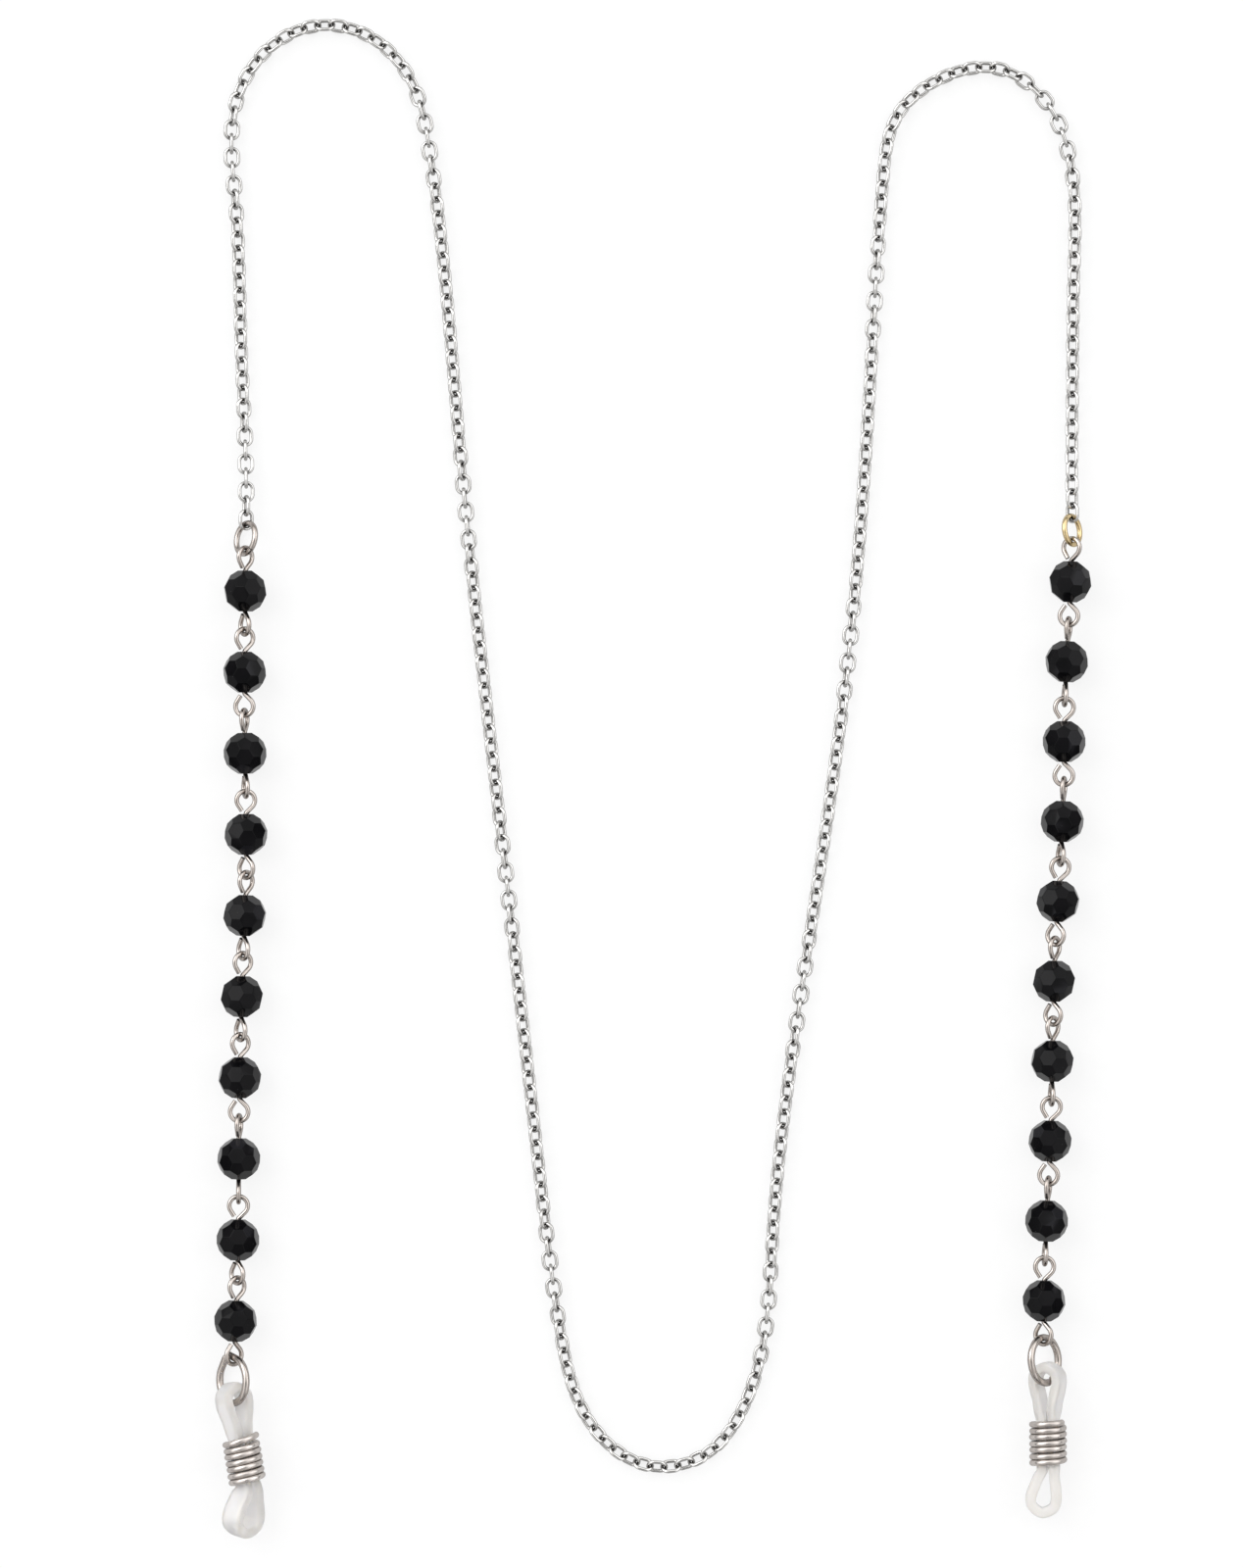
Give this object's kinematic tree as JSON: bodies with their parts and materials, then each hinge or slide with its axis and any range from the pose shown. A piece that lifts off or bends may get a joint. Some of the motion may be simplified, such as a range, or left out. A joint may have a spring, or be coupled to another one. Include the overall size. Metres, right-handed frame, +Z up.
{
  "type": "eyeglass chain",
  "caption": "Beaded eyeglass chain: a cable neck chain with black faceted bead strands, ending in clear silicone temple loops with sliding wire coils.",
  "frame": {"origin": "on the table under the middle of the chain as it lies flat in a soft letter M", "axes": "+Z up from the table, +Y from the temple loops towards the two humps of the neck chain, +X towards the strand with the brass ring"},
  "size_m": [0.121, 0.2097, 0.0063],
  "materials": {
    "silver_chain": "bright polished silver-tone plating",
    "nickel_wire": "drawn wire, nickel-toned, slightly warm and softly polished",
    "brass_ring": "pale brass-toned plating, slightly worn",
    "black_bead": "black, polished flat facets",
    "silicone": "clear to milky silicone, satin"
  },
  "bodies": {
    "left_chain_5": {"left_chain_5": "silver_chain"},
    "left_chain_4": {"left_chain_4": "silver_chain"},
    "left_chain_3": {"left_chain_3": "silver_chain"},
    "left_chain_2": {"left_chain_2": "silver_chain"},
    "left_chain_1": {"left_chain_1": "silver_chain"},
    "nape_chain": {"nape_chain": "silver_chain"},
    "right_chain_1": {"right_chain_1": "silver_chain"},
    "right_chain_2": {"right_chain_2": "silver_chain"},
    "right_chain_3": {"right_chain_3": "silver_chain"},
    "right_chain_4": {"right_chain_4": "silver_chain"},
    "right_chain_5": {"right_chain_5": "silver_chain"},
    "left_chain_ring": {"left_chain_ring": "nickel_wire"},
    "left_pin_1": {"left_pin_1": "nickel_wire"},
    "left_pin_2": {"left_pin_2": "nickel_wire"},
    "left_pin_3": {"left_pin_3": "nickel_wire"},
    "left_pin_4": {"left_pin_4": "nickel_wire"},
    "left_pin_5": {"left_pin_5": "nickel_wire"},
    "left_pin_6": {"left_pin_6": "nickel_wire"},
    "left_pin_7": {"left_pin_7": "nickel_wire"},
    "left_pin_8": {"left_pin_8": "nickel_wire"},
    "left_pin_9": {"left_pin_9": "nickel_wire"},
    "left_pin_10": {"left_pin_10": "nickel_wire"},
    "left_bead_1": {"left_bead_1": "black_bead"},
    "left_bead_2": {"left_bead_2": "black_bead"},
    "left_bead_3": {"left_bead_3": "black_bead"},
    "left_bead_4": {"left_bead_4": "black_bead"},
    "left_bead_5": {"left_bead_5": "black_bead"},
    "left_bead_6": {"left_bead_6": "black_bead"},
    "left_bead_7": {"left_bead_7": "black_bead"},
    "left_bead_8": {"left_bead_8": "black_bead"},
    "left_bead_9": {"left_bead_9": "black_bead"},
    "left_bead_10": {"left_bead_10": "black_bead"},
    "left_end_ring": {"left_end_ring": "nickel_wire"},
    "left_temple_loop": {"left_temple_loop": "silicone"},
    "left_coil_slider": {"left_coil_slider": "nickel_wire"},
    "right_chain_ring": {"right_chain_ring": "brass_ring"},
    "right_pin_1": {"right_pin_1": "nickel_wire"},
    "right_pin_2": {"right_pin_2": "nickel_wire"},
    "right_pin_3": {"right_pin_3": "nickel_wire"},
    "right_pin_4": {"right_pin_4": "nickel_wire"},
    "right_pin_5": {"right_pin_5": "nickel_wire"},
    "right_pin_6": {"right_pin_6": "nickel_wire"},
    "right_pin_7": {"right_pin_7": "nickel_wire"},
    "right_pin_8": {"right_pin_8": "nickel_wire"},
    "right_pin_9": {"right_pin_9": "nickel_wire"},
    "right_pin_10": {"right_pin_10": "nickel_wire"},
    "right_bead_1": {"right_bead_1": "black_bead"},
    "right_bead_2": {"right_bead_2": "black_bead"},
    "right_bead_3": {"right_bead_3": "black_bead"},
    "right_bead_4": {"right_bead_4": "black_bead"},
    "right_bead_5": {"right_bead_5": "black_bead"},
    "right_bead_6": {"right_bead_6": "black_bead"},
    "right_bead_7": {"right_bead_7": "black_bead"},
    "right_bead_8": {"right_bead_8": "black_bead"},
    "right_bead_9": {"right_bead_9": "black_bead"},
    "right_bead_10": {"right_bead_10": "black_bead"},
    "right_end_ring": {"right_end_ring": "nickel_wire"},
    "right_temple_loop": {"right_temple_loop": "silicone"},
    "right_coil_slider": {"right_coil_slider": "nickel_wire"}
  },
  "joints": [
    {"name": "adjust_left_coil", "type": "slide", "parent": "left_temple_loop", "child": "left_coil_slider", "axis": [0.1633, -0.9866, 0], "range_m": [-0.003, 0.003], "deforming": ["left_temple_loop"]},
    {"name": "adjust_right_coil", "type": "slide", "parent": "right_temple_loop", "child": "right_coil_slider", "axis": [0.0087, -1, 0], "range_m": [-0.0033, 0.0027], "deforming": ["right_temple_loop"]},
    {"name": "bend_left_chain_1", "type": "hinge", "parent": "nape_chain", "child": "left_chain_1", "pos_m": [-0.01416, -0.0673, 0.0012], "axis": [0.0013, 0.0002, -1], "range_deg": [-8, 11]},
    {"name": "bend_left_chain_2", "type": "hinge", "parent": "left_chain_1", "child": "left_chain_2", "pos_m": [-0.02021, -0.01426, 0.0012], "axis": [0.9928, 0.1129, 0.0399], "range_deg": [-5, 40]},
    {"name": "bend_left_chain_3", "type": "hinge", "parent": "left_chain_2", "child": "left_chain_3", "pos_m": [-0.02593, 0.03745, 0.0012], "axis": [-0.0411, -0.004, 0.9991], "range_deg": [-40, 8]},
    {"name": "bend_left_chain_4", "type": "hinge", "parent": "left_chain_3", "child": "left_chain_4", "pos_m": [-0.03126, 0.08919, 0.0012], "axis": [0.9787, 0.2007, 0.0426], "range_deg": [-40, 40]},
    {"name": "bend_left_chain_5", "type": "hinge", "parent": "left_chain_4", "child": "left_chain_5", "pos_m": [-0.05813, 0.08505, 0.0012], "axis": [-0.0515, -0.004, -0.9987], "range_deg": [-8, 40]},
    {"name": "bend_right_chain_1", "type": "hinge", "parent": "nape_chain", "child": "right_chain_1", "pos_m": [0.0159, -0.07268, 0.0012], "axis": [0.0001, 0, 1], "range_deg": [-8, 11]},
    {"name": "bend_right_chain_2", "type": "hinge", "parent": "right_chain_1", "child": "right_chain_2", "pos_m": [0.02022, -0.03111, 0.0012], "axis": [0.989, -0.1478, -0.0011], "range_deg": [-5, 40]},
    {"name": "bend_right_chain_3", "type": "hinge", "parent": "right_chain_2", "child": "right_chain_3", "pos_m": [0.02695, 0.01659, 0.0012], "axis": [-0.003, 0.0003, -1], "range_deg": [-40, 8]},
    {"name": "bend_right_chain_4", "type": "hinge", "parent": "right_chain_3", "child": "right_chain_4", "pos_m": [0.03066, 0.06712, 0.0012], "axis": [-0.9979, 0.0566, 0.0304], "range_deg": [-40, 40]},
    {"name": "bend_right_chain_5", "type": "hinge", "parent": "right_chain_4", "child": "right_chain_5", "pos_m": [0.05581, 0.09098, 0.0012], "axis": [-0.0252, -0.0149, 0.9996], "range_deg": [-8, 40]},
    {"name": "hook_left_chain_ring", "type": "hinge", "parent": "left_chain_5", "child": "left_chain_ring", "pos_m": [-0.05617, 0.03443, 0.00191], "axis": [-0.8596, 0.0137, 0.5108], "range_deg": [-40, 40]},
    {"name": "hook_left_end_ring", "type": "hinge", "parent": "left_pin_10", "child": "left_end_ring", "pos_m": [-0.05784, -0.08083, 0.003], "axis": [0.7653, -0.0334, -0.6428], "range_deg": [-40, 40]},
    {"name": "hook_left_temple_loop", "type": "hinge", "parent": "left_end_ring", "child": "left_temple_loop", "pos_m": [-0.0577, -0.08609, 0.00346], "axis": [0.6287, -0.0275, 0.7771], "range_deg": [-40, 40]},
    {"name": "hook_right_chain_ring", "type": "hinge", "parent": "right_chain_5", "child": "right_chain_ring", "pos_m": [0.05788, 0.03542, 0.002], "axis": [0.7068, 0.0256, 0.707], "range_deg": [-40, 40]},
    {"name": "hook_right_end_ring", "type": "hinge", "parent": "right_pin_10", "child": "right_end_ring", "pos_m": [0.05377, -0.07806, 0.003], "axis": [0.8089, -0.0141, 0.5878], "range_deg": [-40, 40]},
    {"name": "hook_right_temple_loop", "type": "hinge", "parent": "right_end_ring", "child": "right_temple_loop", "pos_m": [0.05437, -0.08332, 0.00283], "axis": [0.6403, 0.056, -0.766], "range_deg": [-40, 40]},
    {"name": "pivot_left_pin_1", "type": "hinge", "parent": "left_chain_ring", "child": "left_pin_1", "pos_m": [-0.05619, 0.03179, 0.003], "axis": [-0.6691, 0.0058, 0.7431], "range_deg": [-50, 50]},
    {"name": "pivot_left_pin_2", "type": "hinge", "parent": "left_pin_1", "child": "left_pin_2", "pos_m": [-0.0563, 0.01981, 0.003], "axis": [0.5, -0.0044, 0.866], "range_deg": [-40, 12]},
    {"name": "pivot_left_pin_3", "type": "hinge", "parent": "left_pin_2", "child": "left_pin_3", "pos_m": [-0.05636, 0.00862, 0.003], "axis": [0.9659, -0.0051, 0.2588], "range_deg": [-50, 50]},
    {"name": "pivot_left_pin_4", "type": "hinge", "parent": "left_pin_3", "child": "left_pin_4", "pos_m": [-0.05616, -0.00256, 0.003], "axis": [-0.2588, -0.0045, -0.9659], "range_deg": [-12, 40]},
    {"name": "pivot_left_pin_5", "type": "hinge", "parent": "left_pin_4", "child": "left_pin_5", "pos_m": [-0.0561, -0.01374, 0.003], "axis": [-0.766, -0.004, -0.6428], "range_deg": [-50, 50]},
    {"name": "pivot_left_pin_6", "type": "hinge", "parent": "left_pin_5", "child": "left_pin_6", "pos_m": [-0.05655, -0.02492, 0.003], "axis": [0.5442, -0.0219, 0.8387], "range_deg": [-40, 12]},
    {"name": "pivot_left_pin_7", "type": "hinge", "parent": "left_pin_6", "child": "left_pin_7", "pos_m": [-0.05689, -0.0353, 0.003], "axis": [0.8479, -0.0148, -0.5299], "range_deg": [-50, 50]},
    {"name": "pivot_left_pin_8", "type": "hinge", "parent": "left_pin_7", "child": "left_pin_8", "pos_m": [-0.05709, -0.04648, 0.003], "axis": [0.1736, -0.0009, -0.9848], "range_deg": [-12, 40]},
    {"name": "pivot_left_pin_9", "type": "hinge", "parent": "left_pin_8", "child": "left_pin_9", "pos_m": [-0.05714, -0.05767, 0.003], "axis": [-0.9992, 0.0174, 0.0349], "range_deg": [-50, 50]},
    {"name": "pivot_left_pin_10", "type": "hinge", "parent": "left_pin_9", "child": "left_pin_10", "pos_m": [-0.05735, -0.06965, 0.003], "axis": [0.669, -0.0117, 0.7431], "range_deg": [-40, 12]},
    {"name": "pivot_right_pin_1", "type": "hinge", "parent": "right_chain_ring", "child": "right_pin_1", "pos_m": [0.05773, 0.03307, 0.003], "axis": [0.8185, -0.0329, 0.5736], "range_deg": [-50, 50]},
    {"name": "pivot_right_pin_2", "type": "hinge", "parent": "right_pin_1", "child": "right_pin_2", "pos_m": [0.0573, 0.02205, 0.003], "axis": [0.2585, -0.0131, -0.9659], "range_deg": [-40, 12]},
    {"name": "pivot_right_pin_3", "type": "hinge", "parent": "right_pin_2", "child": "right_pin_3", "pos_m": [0.0567, 0.01104, 0.003], "axis": [0.9975, -0.0087, -0.0698], "range_deg": [-50, 50]},
    {"name": "pivot_right_pin_4", "type": "hinge", "parent": "right_pin_3", "child": "right_pin_4", "pos_m": [0.05664, 0.00002, 0.003], "axis": [-0.2077, 0.0087, 0.9781], "range_deg": [-12, 40]},
    {"name": "pivot_right_pin_5", "type": "hinge", "parent": "right_pin_4", "child": "right_pin_5", "pos_m": [0.0562, -0.011, 0.003], "axis": [-0.968, 0.066, 0.2419], "range_deg": [-50, 50]},
    {"name": "pivot_right_pin_6", "type": "hinge", "parent": "right_pin_5", "child": "right_pin_6", "pos_m": [0.05541, -0.022, 0.003], "axis": [0.5445, -0.0143, -0.8387], "range_deg": [-40, 12]},
    {"name": "pivot_right_pin_7", "type": "hinge", "parent": "right_pin_6", "child": "right_pin_7", "pos_m": [0.0551, -0.03398, 0.003], "axis": [0.7877, -0.0206, 0.6157], "range_deg": [-50, 50]},
    {"name": "pivot_right_pin_8", "type": "hinge", "parent": "right_pin_7", "child": "right_pin_8", "pos_m": [0.0549, -0.045, 0.003], "axis": [0.1045, -0.0018, 0.9945], "range_deg": [-12, 40]},
    {"name": "pivot_right_pin_9", "type": "hinge", "parent": "right_pin_8", "child": "right_pin_9", "pos_m": [0.05446, -0.05602, 0.003], "axis": [-0.9695, 0.0389, -0.2419], "range_deg": [-50, 50]},
    {"name": "pivot_right_pin_10", "type": "hinge", "parent": "right_pin_9", "child": "right_pin_10", "pos_m": [0.05396, -0.06703, 0.003], "axis": [-0.0523, 0.0024, -0.9986], "range_deg": [-40, 12]},
    {"name": "spin_left_bead_1", "type": "hinge", "parent": "left_pin_1", "child": "left_bead_1", "pos_m": [-0.05625, 0.0258, 0.003], "axis": [-0.0087, -1, 0], "continuous": true},
    {"name": "spin_left_bead_2", "type": "hinge", "parent": "left_pin_2", "child": "left_bead_2", "pos_m": [-0.05632, 0.01462, 0.003], "axis": [-0.0052, -1, 0], "continuous": true},
    {"name": "spin_left_bead_3", "type": "hinge", "parent": "left_pin_3", "child": "left_bead_3", "pos_m": [-0.05627, 0.00343, 0.003], "axis": [0.0175, -0.9998, 0], "continuous": true},
    {"name": "spin_left_bead_4", "type": "hinge", "parent": "left_pin_4", "child": "left_bead_4", "pos_m": [-0.05613, -0.00775, 0.003], "axis": [0.0052, -1, 0], "continuous": true},
    {"name": "spin_left_bead_5", "type": "hinge", "parent": "left_pin_5", "child": "left_bead_5", "pos_m": [-0.05631, -0.01893, 0.003], "axis": [-0.0401, -0.9992, 0], "continuous": true},
    {"name": "spin_left_bead_6", "type": "hinge", "parent": "left_pin_6", "child": "left_bead_6", "pos_m": [-0.05671, -0.03011, 0.003], "axis": [-0.0314, -0.9995, 0], "continuous": true},
    {"name": "spin_left_bead_7", "type": "hinge", "parent": "left_pin_7", "child": "left_bead_7", "pos_m": [-0.05699, -0.04129, 0.003], "axis": [-0.0175, -0.9998, 0], "continuous": true},
    {"name": "spin_left_bead_8", "type": "hinge", "parent": "left_pin_8", "child": "left_bead_8", "pos_m": [-0.05713, -0.05248, 0.003], "axis": [-0.0052, -1, 0], "continuous": true},
    {"name": "spin_left_bead_9", "type": "hinge", "parent": "left_pin_9", "child": "left_bead_9", "pos_m": [-0.05725, -0.06366, 0.003], "axis": [-0.0175, -0.9998, 0], "continuous": true},
    {"name": "spin_left_bead_10", "type": "hinge", "parent": "left_pin_10", "child": "left_bead_10", "pos_m": [-0.05758, -0.07484, 0.003], "axis": [-0.0436, -0.999, 0], "continuous": true},
    {"name": "spin_right_bead_1", "type": "hinge", "parent": "right_pin_1", "child": "right_bead_1", "pos_m": [0.05749, 0.02708, 0.003], "axis": [-0.0401, -0.9992, 0], "continuous": true},
    {"name": "spin_right_bead_2", "type": "hinge", "parent": "right_pin_2", "child": "right_bead_2", "pos_m": [0.057, 0.01607, 0.003], "axis": [-0.0506, -0.9987, 0], "continuous": true},
    {"name": "spin_right_bead_3", "type": "hinge", "parent": "right_pin_3", "child": "right_bead_3", "pos_m": [0.05665, 0.00505, 0.003], "axis": [-0.0087, -1, 0], "continuous": true},
    {"name": "spin_right_bead_4", "type": "hinge", "parent": "right_pin_4", "child": "right_bead_4", "pos_m": [0.05639, -0.00597, 0.003], "axis": [-0.0419, -0.9991, 0], "continuous": true},
    {"name": "spin_right_bead_5", "type": "hinge", "parent": "right_pin_5", "child": "right_bead_5", "pos_m": [0.05579, -0.01698, 0.003], "axis": [-0.068, -0.9977, 0], "continuous": true},
    {"name": "spin_right_bead_6", "type": "hinge", "parent": "right_pin_6", "child": "right_bead_6", "pos_m": [0.05525, -0.02799, 0.003], "axis": [-0.0262, -0.9997, 0], "continuous": true},
    {"name": "spin_right_bead_7", "type": "hinge", "parent": "right_pin_7", "child": "right_bead_7", "pos_m": [0.05501, -0.03901, 0.003], "axis": [-0.0175, -0.9998, 0], "continuous": true},
    {"name": "spin_right_bead_8", "type": "hinge", "parent": "right_pin_8", "child": "right_bead_8", "pos_m": [0.0547, -0.05003, 0.003], "axis": [-0.0401, -0.9992, 0], "continuous": true},
    {"name": "spin_right_bead_9", "type": "hinge", "parent": "right_pin_9", "child": "right_bead_9", "pos_m": [0.05423, -0.06105, 0.003], "axis": [-0.0454, -0.999, 0], "continuous": true},
    {"name": "spin_right_bead_10", "type": "hinge", "parent": "right_pin_10", "child": "right_bead_10", "pos_m": [0.05387, -0.07207, 0.003], "axis": [-0.0175, -0.9998, 0], "continuous": true}
  ]
}
